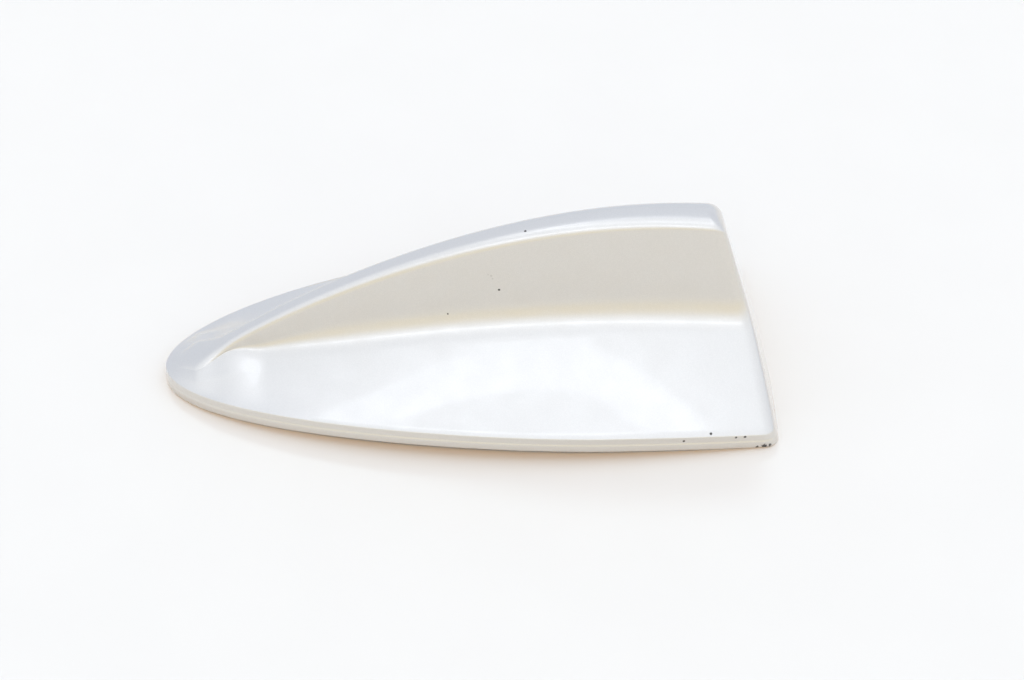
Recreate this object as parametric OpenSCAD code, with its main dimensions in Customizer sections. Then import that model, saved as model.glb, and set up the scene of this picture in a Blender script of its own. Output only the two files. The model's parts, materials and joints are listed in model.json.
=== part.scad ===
// Roof antenna in a fin-shaped housing: painted cover, base plate and the boards inside.
// The tip points to -X, the rear to +X, the housing rests on its rim at z = 0.

// Which piece to draw, or all of them

/* [Housing] */
// Length of the housing over tip and rear
fin_l = 155; // [140:1:170]
// Width over the rim
fin_w = 75; // [68:1:84]
// Height of the crest
fin_h = 49.9; // [44:0.1:56]
// Rise of the underside at mid length, to follow a curved roof
arch = 3.6; // [2:0.1:5]
// Height of the upright band along the lower edge
rim_h = 4.2; // [3.8:0.1:5.5]
// Depth of the fine step half way up the band
rim_step = 0.25; // [0.1:0.05:0.4]
// Wall thickness of the housing
wall = 2; // [1.6:0.1:2.4]
// Forward lean of the rear face per mm of height
rear_lean = 0.313; // [0.2:0.001:0.4]
// How far the rear face bulges out between its corners
rear_bulge = 2; // [0:0.1:3]
// Radius of the upright rear corners of the rim
corner_r = 3.5; // [2:0.1:5]

/* [Blade] */
// Half width of the crest at the tip
crest_tip = 2.2; // [2:0.1:3]
// Half width of the crest at the rear
crest_rear = 5.3; // [4.5:0.1:6.5]
// Height of the crown between the two crest edges
crown = 2.6; // [1.5:0.1:3.5]
// Sideways lean of the blade walls per mm of height
blade_lean = 0.19; // [0.12:0.01:0.24]
// Height of the valley below the blade at the rear
valley_h = 22.1; // [19:0.1:24]
// Reach of the valley rounding along wall and skirt
valley_reach = 5.8; // [3:0.1:7]
// Where the flutes start behind the tip
flute_start = 9; // [7:0.5:12]
// Length over which the flutes grow to full depth
flute_fade = 17; // [12:0.5:22]

/* [Base plate] */
// Side gap between base plate and housing
plate_gap = 0.4; // [0.3:0.1:0.8]
// Thickness of the plate's flange
flange_t = 1.5; // [1.3:0.1:2]
// Thickness of the foam ring below the flange
foam_t = 0.75; // [0.6:0.05:0.9]
// How far the foam ring stays above the rim's lower edge
foam_up = 0.15; // [0.05:0.05:0.3]
// Width of the foam ring
foam_w = 5.5; // [4:0.5:6]
// Height of the platform's top face
deck_z = 8.6; // [8.2:0.1:9.2]
// Wall thickness of the platform
deck_t = 1.8; // [1.4:0.1:2.2]
// Half width of the platform at its rear
deck_w = 17; // [16.5:0.1:18]
// Height of the rubber ring on the flange
ring_h = 0.8; // [0.6:0.1:1]
// Width of the rubber ring
ring_w = 1.6; // [1.2:0.1:2]
// Inset of the platform's wall at its outline
deck_side = 1.6; // [1.2:0.1:2]
// Radius of the screw cups
cup_r = 4.4; // [4.2:0.1:5]
// Height of a cup's seat above the arched rim plane
cup_up = 4.2; // [4:0.1:5]

/* [Fixing] */
// Radius of the threaded hole's wall
thread_r = 2.5; // [2:0.1:3]
// Outer radius of the threaded insert
insert_r = 4.5; // [4:0.1:5]
// Height of the insert's mouth
insert_z = 4.3; // [4.1:0.1:5]
// Place of the threaded insert along the length
insert_x = 2; // [0:0.5:4]
// Shank radius of the screws that hold the base plate
screw_r = 1.25; // [1:0.05:1.5]
// Head radius of these screws
screw_head_r = 2.7; // [2.4:0.1:3]
// Shank radius of the board screws
board_screw_r = 1; // [0.8:0.05:1.1]
// Head radius of the board screws
board_head_r = 1.9; // [1.6:0.1:2.2]
// Head height of the board screws
board_head_t = 1.3; // [1:0.1:1.5]

/* [Boards] */
// Height of the standoffs below the main board
standoff_h = 2.4; // [2.2:0.1:2.6]
// Thickness of the main board
board_t = 1.6; // [1:0.1:1.6]
// Half width of the main board at its rear
board_w = 15.5; // [14.5:0.1:16]
// Thickness of the upright board
fin_board_t = 1.2; // [0.8:0.1:1.4]
// Gap between the upright board and the inside of the crest
fin_board_gap = 2; // [1.5:0.1:4]
// Thickness of the sheet radiator on the upright board
radiator_t = 0.3; // [0.2:0.1:0.4]
// Width of the radiator's slots
slot_w = 1.6; // [1:0.1:2]
// Width of the copper left at the end of a slot
bridge = 3; // [2:0.5:5]
// Length of the angles that hold the upright board
angle_l = 5; // [4:0.5:6]
// Width of these angles' foot
angle_w = 3.4; // [3:0.1:4]
// Sheet thickness of these angles
angle_t = 0.5; // [0.4:0.1:0.6]
// Side length of the larger board parts
chip_a = 5; // [4:0.5:5.5]
// Height of the larger board parts
chip_h = 1; // [0.8:0.1:1.5]

/* [Receiver] */
// Side length of the ceramic patch
patch_a = 25; // [18:0.5:25]
// Thickness of the ceramic patch
patch_t = 4; // [3:0.1:4]
// Side length of the silver face on the patch
silver_a = 20; // [14:0.5:22]
// Thickness of the pad below the patch
pad_t = 0.5; // [0.3:0.1:0.6]
// Distance from the patch's middle to the board's rear edge
patch_back = 23; // [22:0.5:24]
// Height of the can below the board
can_h = 1.9; // [1.5:0.1:2]
// Sheet thickness of the can
can_t = 0.3; // [0.2:0.1:0.4]

/* [Sockets] */
// Side length of a socket housing
socket_a = 11.4; // [10.5:0.1:12]
// Distance of each socket from the middle plane
socket_y = 8; // [7.5:0.1:8.2]
// Distance from the sockets' middle to the board's rear edge
socket_back = 42; // [41:0.5:43]
// Height of the sockets' mouths
socket_z = 4.4; // [4.2:0.1:5]
// Radius of the round socket hollow
socket_r = 4.4; // [4:0.1:4.6]
// Outer radius of the outer contact
contact_r = 2.4; // [2:0.1:2.6]
// Radius of the centre contact
centre_r = 0.45; // [0.3:0.05:0.6]

/* [Hidden] */
$fn = 64;
hw = fin_w / 2;
arc_r = (pow(fin_l / 2, 2) + arch * arch) / (2 * arch);
flange_z = foam_up + foam_t;
flange_top = flange_z + flange_t;
board_z = deck_z + standoff_h;
board_top = board_z + board_t;
patch_z = board_top + pad_t;
board_front = -16 / 155 * fin_l;
board_rear = 66 / 155 * fin_l;
patch_x = board_rear - patch_back;
socket_x = board_rear - socket_back;
snug = 0.05;

// Cubic curve through four control values
function cub(a, b, c, d, t) = let (s = 1 - t)
  s * s * s * a + 3 * s * s * t * b + 3 * s * t * t * c + t * t * t * d;
function mix(a, b, f) = a + (b - a) * f;
function smooth(f) = let (g = max(0, min(1, f))) g * g * (3 - 2 * g);
// Distance that a corner of radius r takes away, u before the end
function round_off(u, r) = u >= r ? 0 : r - sqrt(max(0, r * r - pow(r - u, 2)));

// Plan curve: half width over the distance from the tip
plan_xm = 0.72 * fin_l;
plan_curve = [for (i = [0:80]) let (t = i / 80)
  [cub(0, 0, 0.417 * fin_l, plan_xm, t), cub(0, 0.531 * hw, hw, hw, t)]];
function half_w(x) = x < plan_xm ? lookup(max(x, 0.03), plan_curve)
  : hw - 0.053 * hw * pow((x - plan_xm) / (fin_l - plan_xm), 2);
// Crest curve: height over the distance from the tip
crest_curve = [for (i = [0:80]) let (t = i / 80) [
  cub(0, 0.17 * fin_l, 0.552 * fin_l, fin_l, t),
  fin_h * cub(0.013, 0.5196, 1.1352, 0.9736, t)
]];
nose_l = 0.09 * fin_l;
function crest_z(x) = lookup(x, crest_curve)
  + (x < nose_l ? (rim_h - 0.013 * fin_h) * pow(1 - x / nose_l, 2)
  + 0.5 * sin(180 * x / nose_l) : 0);
function arch_z(x) = arch * (1 - pow(2 * x / fin_l - 1, 2));
function crest_w(x) = crest_tip + (crest_rear - crest_tip) * pow(x / fin_l, 1.13)
  + (x < 22 ? 18 * pow(1 - x / 22, 3) : 0);
function crown_h(x) = crown * (0.67 + 0.33 * min(1, x / 60));
function valley_z(x) = let (t = x / fin_l)
  0.189 * valley_h * (1 - t) * (1 - t) + 2.52 * valley_h * t * (1 - t) + valley_h * t * t;
function skew(x) = rear_lean * pow(x / fin_l, 2.155);

// Moves a point of the cross-section at x to its place: the sections lean more towards the rear
function place(x, y, z) = [
  x - fin_l / 2 - z * skew(x) - rear_bulge * pow(y / hw, 2) * pow(x / fin_l, 8), y, z];

// Measures of the cross-section: half width, arch, band top, valley, crest edge, crest, flute
function measures(x, e, q) = let (
  w = half_w(x) - e, za = arch_z(x), zs = crest_z(x) - q, zr = za + rim_h,
  zc = min(crest_z(x) - crown_h(x) - 0.5 * e, zs - 0.5),
  c = min(crest_w(x), 0.6 * w) - 0.4 * e,
  depth = 0.1 + (zc - 0.1 - valley_z(x)) * smooth((x - flute_start) / flute_fade),
  kz = zc - max(0.1, depth) - 0.1 * e,
  k = c + blade_lean * (zc - kz)
) [w, za, zr, k, kz, c, zc, zs, smooth((x - 2) / (flute_start + 2))];

// Cross-section from the band over skirt, valley and blade wall to the crest, n points a curve
function flank(m, w0, zr, kk, cc, zc, zs, n) = let (
  sk = kk - [w0, zr], wl = [cc, zc] - kk,
  r1 = min(valley_reach, 0.45 * norm(sk)), r2 = min(valley_reach, 0.45 * norm(wl)),
  a = kk - sk * r1 / norm(sk), b = kk + wl * r2 / norm(wl)
) concat(
  [for (i = [0:n - 1]) let (f = i / n) [mix(w0, a[0], f), mix(zr, a[1], f) - 1.2 * f * (1 - f) * m]],
  [for (i = [0:n]) let (f = i / n) (1 - f) * (1 - f) * a + 2 * f * (1 - f) * kk + f * f * b],
  [for (i = [0:n]) let (f = 1 - i / n) [cc * f, zs - (zs - zc) * f * f]]
);
// Fades the section into a plain dome at the tip
function fade(line, w0, zr, zs, f) = let (n = len(line) - 1)
  [for (j = [0:n]) let (y = w0 * (1 - j / n), z = zr + (zs - zr) * (1 - pow(1 - j / n, 1.7)))
    [mix(y, line[j][0], f), mix(z, line[j][1], f)]];

function outer_half(x, n) = let (
  u = fin_l - x, e = round_off(u, corner_r), q = round_off(u, 4),
  v = measures(x, e, q), w = v[0], za = v[1], zr = v[2], s = min(rim_step, 0.3 * w),
  w0 = w - 1.6 * s
) concat(
  [[w - 0.2, za], [w, za + 0.25], [w, za + 0.48 * rim_h], [w - s, za + 0.54 * rim_h]],
  [[w - s, zr - 0.4]],
  fade(flank(1, w0, zr, [v[3], v[4]], v[5], v[6], v[7], n), w0, zr, v[7], v[8])
);

// Half section of a surface t inside the outer one, from the height zb up
function inner_half(x, n, t, zb) = let (
  v = measures(x, 0, 0), w = v[0], zr = v[2],
  dw = min(2.2, (half_w(x + 0.5) - half_w(x - 0.5))),
  dz = crest_z(x + 0.5) - crest_z(x - 0.5),
  w0 = w - t * sqrt(1 + dw * dw), g = t * sqrt(1 + dz * dz),
  m = (v[4] - zr) / (w - v[3]), a = blade_lean,
  ts = t * sqrt(1 + m * m) * sqrt(1 + 0.3 * dz * dz), tw = t * sqrt(1 + a * a),
  kz = (zr + m * w - ts - m * (v[5] + a * v[6] - tw)) / (1 - m * a),
  zc = min(v[6] - g, v[6] + (v[5] - tw - 0.3) / a),
  zs = max(v[7] - g, zc + 0.2),
  c = v[5] + a * (v[6] - zc) - tw, k = v[5] + a * (v[6] - kz) - tw,
  z0 = zr + m * (w - w0) - ts
) concat(
  [[w0, zb]],
  fade(flank(0, w0, z0, [k, min(kz, zc - 0.2)], c, zc, zs, n), w0, z0, zs, v[8])
);

// Open line of a half section over both sides, and the points that close it below
function over(x, h) = concat(
  [for (p = h) place(x, p[0], p[1])],
  [for (i = [len(h) - 2:-1:0]) place(x, -h[i][0], h[i][1])]
);
function under(x, h) = [for (f = [-0.5, 0, 0.5]) place(x, f * h[0][0], h[0][1])];
// Closed loops that shrink towards the middle of an end face, f is how far
function inset(x, h, f, zm) = let (g = [for (p = h) [p[0] * f, mix(zm, p[1], f)]])
  concat(over(x, g), under(x, g));
function strip(a, b, n) = [for (j = [0:n - 2]) each
  [[a + j, b + j, b + j + 1], [a + j, b + j + 1, a + j + 1]]];
function loop(a, b, n) = concat(strip(a, b, n), [[a + n - 1, b + n - 1, b], [a + n - 1, b, a]]);
function fan(a, c, n) = [for (j = [0:n - 1]) [a + (j + 1) % n, a + j, c]];
function flip(f) = [for (t = f) [t[0], t[2], t[1]]];

outer_x = concat(
  [0], [for (i = [1:16]) 0.38 * fin_l * pow(i / 16, 2)],
  [for (i = [1:10]) mix(0.38 * fin_l, fin_l - 5.5, i / 10)],
  [for (a = [0:22.5:90]) fin_l - 4 + 4 * sin(a)]
);
inner_end = fin_l - wall * 1.1;
first = 4;
function inner_at(x) = mix(outer_x[first] + 0.35, inner_end,
  (x - outer_x[first]) / (fin_l - outer_x[first]));
end_z = 0.36 * fin_h;

// The moulded wall as one closed surface: outside, lower edge, inside and both ends
module shell() {
  k = len(outer_x) - 1;
  halves = [for (x = outer_x) outer_half(x, 5)];
  inner_x = [for (i = [first:k]) inner_at(outer_x[i])];
  cores = [for (x = inner_x) inner_half(x, 3, wall, arch_z(x))];
  no = 2 * len(halves[0]) - 1;
  ni = 2 * len(cores[0]) - 1;
  m = len(inner_x) - 1;
  outer = [for (i = [0:k]) each over(outer_x[i], halves[i])];
  inner = [for (i = [0:m]) each over(inner_x[i], cores[i])];
  ob = under(outer_x[k], halves[k]);
  ib = under(inner_x[m], cores[m]);
  rear = [for (f = [0.66, 0.33]) each inset(outer_x[k], halves[k], f, end_z)];
  back = inset(inner_x[m], cores[m], 0.5, end_z);
  a_in = len(outer);
  a_ob = a_in + len(inner);
  a_ib = a_ob + 3;
  a_rear = a_ib + 3;
  a_back = a_rear + len(rear);
  c = a_back + len(back);
  mids = [mix(halves[0][0][1], halves[0][len(halves[0]) - 1][1], 0.5),
    mix(cores[0][0][1], cores[0][len(cores[0]) - 1][1], 0.5)];
  last_o = k * no;
  last_i = a_in + m * ni;
  lo = concat([for (j = [0:no - 1]) last_o + j], [for (j = [0:2]) a_ob + j]);
  li = concat([for (j = [0:ni - 1]) last_i + j], [for (j = [0:2]) a_ib + j]);
  polyhedron(points = concat(outer, inner, ob, ib, rear, back, [
    place(0, 0, mids[0]), place(inner_x[0], 0, mids[1]),
    place(fin_l, 0, end_z), place(inner_end, 0, end_z)
  ]), faces = concat(
    [for (i = [0:k - 1]) each strip(i * no, (i + 1) * no, no)],
    [for (j = [0:no - 1]) [j, (j + 1) % no, c]],
    [for (i = [0:first - 1]) let (a = i * no, b = a + no)
      each [[a, a + no - 1, b + no - 1], [a, b + no - 1, b]]],
    let (a = first * no, b = a_in) [[a, a + no - 1, b + ni - 1], [a, b + ni - 1, b]],
    fan(a_in, c + 1, ni),
    flip([for (i = [0:m - 1]) each strip(a_in + i * ni, a_in + (i + 1) * ni, ni)]),
    [for (i = [0:m - 1]) let (a = (first + i) * no, b = a_in + i * ni)
      each [[a, b, b + ni], [a, b + ni, a + no]]],
    [for (i = [0:m - 1]) let (a = (first + i) * no + no - 1, b = a_in + i * ni + ni - 1)
      each [[a, b + ni, b], [a, a + no, b + ni]]],
    let (q = [last_o + no - 1, a_ob, a_ob + 1, a_ob + 2, last_o],
      r = [last_i + ni - 1, a_ib, a_ib + 1, a_ib + 2, last_i])
      [for (j = [0:3]) each [[q[j], r[j + 1], r[j]], [q[j], q[j + 1], r[j + 1]]]],
    [for (j = [0:no + 2]) let (j2 = (j + 1) % (no + 3))
      each [[lo[j], a_rear + j, a_rear + j2], [lo[j], a_rear + j2, lo[j2]]]],
    loop(a_rear, a_rear + no + 3, no + 3),
    fan(a_rear + no + 3, c + 2, no + 3),
    [for (j = [0:ni + 2]) let (j2 = (j + 1) % (ni + 3))
      each [[li[j], a_back + j2, a_back + j], [li[j], li[j2], a_back + j2]]],
    flip(fan(a_back, c + 3, ni + 3))
  ), convexity = 8);
}
// Closed form that ends half way through the wall, to trim ribs and bosses
module core_form() {
  xs = concat([for (i = [0:7]) 3 + 27 * pow(i / 7, 1.3)],
    [for (i = [1:9]) mix(30, fin_l - 0.5 * wall, i / 9)]);
  k = len(xs) - 1;
  halves = [for (x = xs) inner_half(x, 3, 0.5 * wall, -3)];
  rings = [for (i = [0:k]) each concat(over(xs[i], halves[i]), under(xs[i], halves[i]))];
  w = len(rings) / (k + 1);
  polyhedron(points = concat(rings, [place(xs[0], 0, 1), place(xs[k], 0, end_z)]), faces = concat(
    [for (j = [0:w - 1]) [j, (j + 1) % w, len(rings)]],
    [for (i = [0:k - 1]) each loop(i * w, (i + 1) * w, w)],
    fan(k * w, len(rings) + 1, w)
  ), convexity = 8);
}

// Outline of the base plate, d inside its edge
plate_tip = 8;
function plate_half(x) = let (dw = min(2.2, half_w(x + 0.5) - half_w(x - 0.5)))
  half_w(x) - (wall + plate_gap) * sqrt(1 + dw * dw);
function plate_rear(y) = inner_end - rear_lean * (arch_z(inner_end) + flange_top)
  - rear_bulge * pow(y / hw, 2) - 1.2;
function plate_side(d) = concat(
  [for (i = [0:11]) let (x = plate_tip + d + 46 * pow(i / 11, 1.6)) [x, plate_half(x) - 1.15 * d]],
  [for (i = [1:6]) let (x = mix(plate_tip + d + 46, fin_l - 10, i / 6)) [x, plate_half(x) - d]],
  [for (i = [0:4]) let (y = (hw - 6.5) * (1 - i / 4)) [plate_rear(y) - d, max(0, y - d)]]
);
module plate_plan(d) {
  side = plate_side(d);
  back = [for (i = [len(side) - 2:-1:0]) [side[i][0], -side[i][1]]];
  translate([-fin_l / 2, 0]) polygon(concat(side, back));
}
// Cylinder that follows the arched rim plane, h above it
module under_arc(h) {
  translate([0, 0, arch - arc_r]) rotate([90, 0, 0])
    cylinder(r = arc_r + h, h = fin_w + 20, center = true, $fn = 720);
}
module plate_ring(d1, d2, h1, h2) {
  intersection() {
    linear_extrude(height = 3 * arch) difference() {
      plate_plan(d1);
      plate_plan(d2);
    }
    difference() {
      under_arc(h2);
      under_arc(h1);
    }
  }
}

// Places of the base plate's screws: [x, y]
cup_places = [
  [-0.3 * fin_l, 0], [-0.026 * fin_l, 0.48 * hw], [-0.026 * fin_l, -0.48 * hw],
  [0.374 * fin_l, 0.64 * hw], [0.374 * fin_l, -0.64 * hw]
];
function seat_z(p) = arch_z(p[0] + fin_l / 2) + cup_up;
screw_depth = 5.2;
head_t = 1.5;
cup_floor = 1.4;

rib_d = ring_w + 1;
module fin_cover() color([0.8, 0.81, 0.83]) difference() {
  union() {
    shell();
    intersection() {
      core_form();
      union() {
        // continuous rib that presses on the rubber ring
        difference() {
          linear_extrude(height = 11) difference() {
            plate_plan(rib_d + 0.3);
            plate_plan(rib_d + 1.3);
          }
          under_arc(flange_top + ring_h);
        }
        // screw bosses
        for (p = cup_places) translate([p[0], p[1], seat_z(p)])
          cylinder(r = cup_r - 0.8, h = 16);
        // cross ribs in front of the boards
        translate([-0.235 * fin_l, -hw, deck_z + 0.8]) cube([1.2, fin_w, 30]);
        translate([-0.36 * fin_l, -hw, flange_top + arch + 1]) cube([1.2, fin_w, 30]);
      }
    }
  }
  for (p = cup_places) translate([p[0], p[1], seat_z(p) - 1])
    cylinder(r = screw_r + snug, h = screw_depth + 1);
}

module cover_seal() color([0.1, 0.1, 0.1])
  plate_ring(rib_d, rib_d + ring_w, flange_top, flange_top + ring_h);

module roof_seal() color([0.14, 0.14, 0.14])
  plate_ring(0.3, 0.3 + foam_w, foam_up, flange_z);

// Platform outline, d inside its edge
deck_front = -0.22 * fin_l;
deck_rear = 0.44 * fin_l;
deck_step = board_front + 8;
deck_wide = board_front + 32;
module deck_plan(d) {
  polygon([
    [deck_front + d, 5 - 0.5 * d], [deck_front + 3 + d, 7 - d], [deck_step, 12 - d], [deck_wide, deck_w - d],
    [deck_rear - 3 - 0.4 * d, deck_w - d], [deck_rear - d, deck_w - 3 - 0.4 * d],
    [deck_rear - d, -deck_w + 3 + 0.4 * d], [deck_rear - 3 - 0.4 * d, -deck_w + d],
    [deck_wide, -deck_w + d], [deck_step, -12 + d], [deck_front + 3 + d, -7 + d],
    [deck_front + d, -5 + 0.5 * d]
  ]);
}
board_screw_places = [
  for (s = [1, -1]) each [[board_front + 6, 5 * s], [board_rear - 4, (board_w - 4) * s]]
];
module base_plate() color([0.68, 0.69, 0.7]) difference() {
  union() {
    difference() {
      union() {
        intersection() {
          linear_extrude(height = 3 * arch) plate_plan(0);
          under_arc(flange_top);
        }
        linear_extrude(height = deck_z) deck_plan(0);
        for (p = cup_places) translate([p[0], p[1], 0]) cylinder(r = cup_r, h = seat_z(p));
      }
      translate([0, 0, -1]) linear_extrude(height = deck_z - deck_t + 1) deck_plan(deck_side);
      under_arc(flange_z);
    }
    // boss round the threaded insert
    translate([insert_x, 0, insert_z]) cylinder(r = insert_r + 3, h = deck_z + 2 - insert_z);
    // standoffs
    for (p = board_screw_places) translate([p[0], p[1], deck_z - 0.5])
      cylinder(r = 2.5, h = standoff_h + 0.5);
    // ribs from the insert's boss to the platform walls
    translate([insert_x - 0.8, -12.5, 4.8]) cube([1.6, 25, deck_z - 4.8]);
  }
  translate([insert_x, 0, insert_z - 1]) cylinder(r = insert_r + snug, h = deck_z + 2 - insert_z);
  for (p = board_screw_places) translate([p[0], p[1], deck_z - 1])
    cylinder(r = board_screw_r + snug, h = standoff_h + 2);
  for (p = cup_places) translate([p[0], p[1], -1]) {
    cylinder(r = screw_head_r + 0.4, h = seat_z(p) - cup_floor + 1);
    cylinder(r = screw_r + 0.25, h = seat_z(p) + 2);
  }
  for (s = [-1, 1]) translate([socket_x, s * socket_y, 0])
    cube([socket_a + 0.8, socket_a + 0.8, 40], center = true);
}

module mount_insert() color([0.72, 0.6, 0.36]) translate([insert_x, 0, insert_z])
  difference() {
    cylinder(r = insert_r, h = deck_z + 1 - insert_z);
    translate([0, 0, -1]) cylinder(r = thread_r, h = deck_z + 3 - insert_z);
  }

board_wide = board_front + 38.5;
module main_board() color([0.1, 0.36, 0.2]) translate([0, 0, board_z]) difference() {
  linear_extrude(height = board_t) polygon([
    [board_front, 5.5], [board_front + 1, 6.5], [board_wide, board_w], [board_rear - 1, board_w],
    [board_rear, board_w - 1], [board_rear, 1 - board_w], [board_rear - 1, -board_w],
    [board_wide, -board_w], [board_front + 1, -6.5], [board_front, -5.5]
  ]);
  for (p = board_screw_places) translate([p[0], p[1], -1])
    cylinder(r = board_screw_r + 0.25, h = board_t + 2);
  translate([patch_x, 0, -1]) cylinder(r = 0.65, h = board_t + 2);
}

// Larger parts on the board: [x, y, length, width, height]
chips = [
  [board_rear - 1.64 * chip_a, -0.8 * chip_a, chip_a, chip_a, chip_h],
  [board_rear - 1.54 * chip_a, 0.8 * chip_a, 0.8 * chip_a, 0.6 * chip_a, 0.9 * chip_h],
  [socket_x - 0.8 * chip_a, 1.2 * chip_a, 1.2 * chip_a, 1.2 * chip_a, chip_h],
  [socket_x - 0.8 * chip_a, -2.2 * chip_a, chip_a, 0.8 * chip_a, 1.1 * chip_h]
];
module board_chips() color([0.12, 0.12, 0.13]) for (c = chips)
  translate([c[0], c[1], board_top]) cube([c[2], c[3], c[4]]);

// Upright board below the crest
fin_board_x = [for (f = [0.41:0.043:0.67]) f * fin_l];
function fin_board_top(x, d) = let (z = crest_z(x) - crown_h(x) - wall * 1.25 - fin_board_gap - d)
  [place(x, 0, z)[0], z];
module fin_board_form(d, t) {
  edge = [for (x = fin_board_x) fin_board_top(x, d)];
  a = edge[0][0];
  b = edge[len(edge) - 1];
  rotate([90, 0, 0]) linear_extrude(height = t) polygon(concat(
    [[a, board_top], [a, edge[0][1]]],
    edge, [[b[0] + 0.08 * (b[1] - board_top), board_top]]
  ));
}
module fin_board() color([0.12, 0.4, 0.24]) translate([0, fin_board_t / 2, 0])
  fin_board_form(0, fin_board_t);

// Meander sheet: slots cut from below and from above in turn
fin_top = [for (x = fin_board_x) fin_board_top(x, 0)];
fin_front = fin_top[0][0];
fin_rear = fin_top[len(fin_top) - 1][0];
radiator_z = board_top + bridge;
module phone_radiator() color([0.8, 0.5, 0.28])
  translate([0, -fin_board_t / 2, 0]) difference() {
    intersection() {
      fin_board_form(bridge / 2, radiator_t);
      translate([fin_front + bridge, -bridge, radiator_z])
        cube([0.8 * (fin_rear - fin_front), 2 * bridge, fin_h]);
    }
    for (i = [0:3]) {
      x = mix(fin_front, fin_rear, 0.25 + 0.15 * i);
      low = i % 2 == 0 ? radiator_z - bridge : radiator_z + bridge;
      high = i % 2 == 0 ? lookup(x, fin_top) - 2.5 * bridge : fin_h;
      translate([x, -bridge, low]) cube([slot_w, 2 * bridge, high - low]);
    }
  }

module board_brackets() color([0.75, 0.75, 0.72]) for (f = [0.375, 0.76])
  translate([mix(fin_front, fin_rear, f), fin_board_t / 2, board_top]) {
    cube([angle_l, angle_w, angle_t]);
    cube([angle_l, angle_t, angle_w + 0.6]);
  }

module slab(a, t, z, r) translate([patch_x, 0, z]) difference() {
  translate([-a / 2, -a / 2, 0]) cube([a, a, t]);
  translate([0, 0, -1]) cylinder(r = r, h = t + 2);
}
module patch_pad() color([0.85, 0.85, 0.82]) slab(patch_a + 0.6, pad_t, board_top, 0.8);
module gps_patch() color([0.86, 0.78, 0.62]) slab(patch_a, patch_t, patch_z, 0.65);
module patch_silver() color([0.88, 0.88, 0.88])
  slab(silver_a, 0.15, patch_z + patch_t, 0.65);
module feed_pin() color([0.85, 0.85, 0.85]) translate([patch_x, 0, 0]) {
  translate([0, 0, patch_z + patch_t + 0.15]) cylinder(r = 1.2, h = 0.35);
  translate([0, 0, board_z - 0.6]) cylinder(r = 0.5, h = patch_z + patch_t + 0.75 - board_z);
}

can_l = patch_a + 1;
can_w = patch_a - 1;
module shield_can() color([0.8, 0.8, 0.78])
  translate([patch_x - 0.46 * patch_a, -can_w / 2, board_z - can_h]) difference() {
    cube([can_l, can_w, can_h]);
    translate([can_t, can_t, can_t]) cube([can_l - 2 * can_t, can_w - 2 * can_t, can_h]);
  }

// One coaxial socket, hanging from the board with its mouth down
module socket_housing(y) translate([socket_x, y, socket_z]) difference() {
  intersection() {
    translate([-socket_a / 2, -socket_a / 2, 0]) cube([socket_a, socket_a, board_z - socket_z]);
    rotate([0, 0, 45]) translate([-socket_a * 0.65, -socket_a * 0.65, 0])
      cube([socket_a * 1.3, socket_a * 1.3, board_z - socket_z]);
  }
  translate([0, 0, -1]) cylinder(r = socket_r, h = board_z - socket_z - 0.2);
  cylinder(r = contact_r + snug, h = 20);
  // coding slots
  for (x = [-1, 1]) translate([x * 2.6 - 0.5, socket_r - 1, -1]) cube([1, 1.7, 4]);
}
module socket_contact(y) translate([socket_x, y, socket_z + 1]) difference() {
  cylinder(r = contact_r, h = board_z - socket_z - 1);
  translate([0, 0, -1]) cylinder(r = contact_r - 0.4, h = 20);
}
module socket_insulator(y) translate([socket_x, y, board_z - 2.6]) difference() {
  cylinder(r = contact_r - 0.4 - snug, h = 2.6);
  translate([0, 0, -1]) cylinder(r = centre_r + snug, h = 5);
}
module socket_pin(y) translate([socket_x, y, socket_z + 1.6])
  cylinder(r = centre_r, h = board_z - socket_z - 1.6);

module gps_socket_housing() color([0.1, 0.25, 0.6]) socket_housing(-socket_y);
module gps_socket_contact() color([0.8, 0.78, 0.7]) socket_contact(-socket_y);
module gps_socket_insulator() color([0.95, 0.95, 0.93]) socket_insulator(-socket_y);
module gps_socket_pin() color([0.85, 0.68, 0.3]) socket_pin(-socket_y);
module phone_socket_housing() color([0.45, 0.12, 0.3]) socket_housing(socket_y);
module phone_socket_contact() color([0.8, 0.78, 0.7]) socket_contact(socket_y);
module phone_socket_insulator() color([0.95, 0.95, 0.93]) socket_insulator(socket_y);
module phone_socket_pin() color([0.85, 0.68, 0.3]) socket_pin(socket_y);

module board_screws() color([0.6, 0.6, 0.62]) for (p = board_screw_places)
  translate([p[0], p[1], 0]) {
    translate([0, 0, board_top]) cylinder(r = board_head_r, h = board_head_t);
    translate([0, 0, deck_z - 0.4]) cylinder(r = board_screw_r, h = board_top - deck_z + 0.6);
  }
module base_screws() color([0.55, 0.55, 0.57]) for (p = cup_places)
  translate([p[0], p[1], seat_z(p) - cup_floor]) {
    translate([0, 0, -head_t]) difference() {
      cylinder(r = screw_head_r, h = head_t);
      translate([0, 0, -1]) cylinder(r = 1.1, h = 1.8, $fn = 6);
    }
    cylinder(r = screw_r, h = cup_floor + screw_depth - 0.4);
  }

fin_cover();
cover_seal();
base_plate();
roof_seal();
mount_insert();
main_board();
board_chips();
fin_board();
phone_radiator();
board_brackets();
gps_patch();
patch_silver();
patch_pad();
feed_pin();
shield_can();
gps_socket_housing();
gps_socket_contact();
gps_socket_insulator();
gps_socket_pin();
phone_socket_housing();
phone_socket_contact();
phone_socket_insulator();
phone_socket_pin();
board_screws();
base_screws();
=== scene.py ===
import json
import math

import bmesh
import bpy
import numpy as np
from mathutils import Matrix, Vector
from mathutils.bvhtree import BVHTree


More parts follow.
